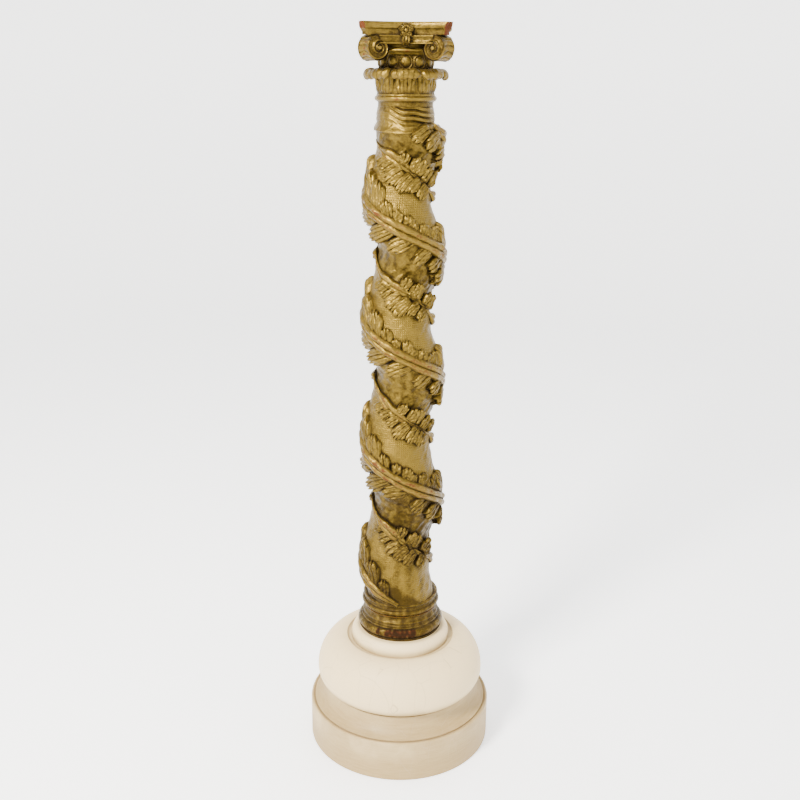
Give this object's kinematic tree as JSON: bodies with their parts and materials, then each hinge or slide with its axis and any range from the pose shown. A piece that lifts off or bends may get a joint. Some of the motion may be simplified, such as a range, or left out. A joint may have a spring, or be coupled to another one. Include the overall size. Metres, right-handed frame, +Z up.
{
  "type": "altar candlestick",
  "caption": "Tall altar candlestick: a carved and gilded twisted column with vine stem, acanthus leaves and a scrolled capital, standing on a round cream-painted plinth.",
  "frame": {"origin": "centre of the plinth's underside, on the floor", "axes": "+Z up along the column, -Y towards the column's front, +X to the right when facing it"},
  "size_m": [0.4, 0.4, 1.52],
  "materials": {
    "cream_paint": "hand-brushed cream oil paint over turned wood, satin, with hairline cracks",
    "gilt_base": "water gilding over red bole, darkened and rubbed",
    "gilt_ground": "water gilding over red bole on gesso, burnished in the hollows and punched on the crests",
    "gilt_foliage": "water gilding over red bole, worn to the bole on the leaf tips",
    "gilt_capital": "water gilding over red bole, with dark wax in the hollows",
    "bare_pine": "bare planed pine",
    "steel_fittings": "plain steel",
    "brass_fittings": "dull aged brass"
  },
  "bodies": {
    "root": {"abacus": "gilt_capital", "base_collar": "gilt_base", "base_cove": "gilt_base", "base_torus": "gilt_base", "board_screws": "steel_fittings", "candle_cup": "brass_fittings", "capital_bell": "gilt_capital", "capital_dowel": "bare_pine", "capital_echinus": "gilt_capital", "capital_leaf_1": "gilt_capital", "capital_leaf_2": "gilt_capital", "capital_leaf_3": "gilt_capital", "capital_leaf_4": "gilt_capital", "capital_leaf_5": "gilt_capital", "capital_leaf_6": "gilt_capital", "capital_leaf_7": "gilt_capital", "capital_leaf_8": "gilt_capital", "cup_screws": "brass_fittings", "fleuron_1": "gilt_capital", "fleuron_2": "gilt_capital", "fleuron_3": "gilt_capital", "fleuron_4": "gilt_capital", "groove_vine_1": "gilt_foliage", "groove_vine_2": "gilt_foliage", "groove_vine_3": "gilt_foliage", "groove_vine_4": "gilt_foliage", "lower_leaves_1": "gilt_foliage", "lower_leaves_2": "gilt_foliage", "lower_leaves_3": "gilt_foliage", "lower_leaves_4": "gilt_foliage", "neck_cuff": "gilt_capital", "necking_bead": "gilt_capital", "plinth_bottom_board": "bare_pine", "plinth_collar": "cream_paint", "plinth_drum": "cream_paint", "plinth_scotia_board": "cream_paint", "plinth_torus_lower": "cream_paint", "plinth_torus_upper": "cream_paint", "shaft_core": "gilt_ground", "tie_nut": "steel_fittings", "tie_rod": "steel_fittings", "tie_washer": "steel_fittings", "upper_leaves_1": "gilt_foliage", "upper_leaves_2": "gilt_foliage", "upper_leaves_3": "gilt_foliage", "upper_leaves_4": "gilt_foliage", "vine_stem": "gilt_foliage", "volute_1": "gilt_capital", "volute_2": "gilt_capital", "volute_3": "gilt_capital", "volute_4": "gilt_capital"}
  },
  "joints": []
}
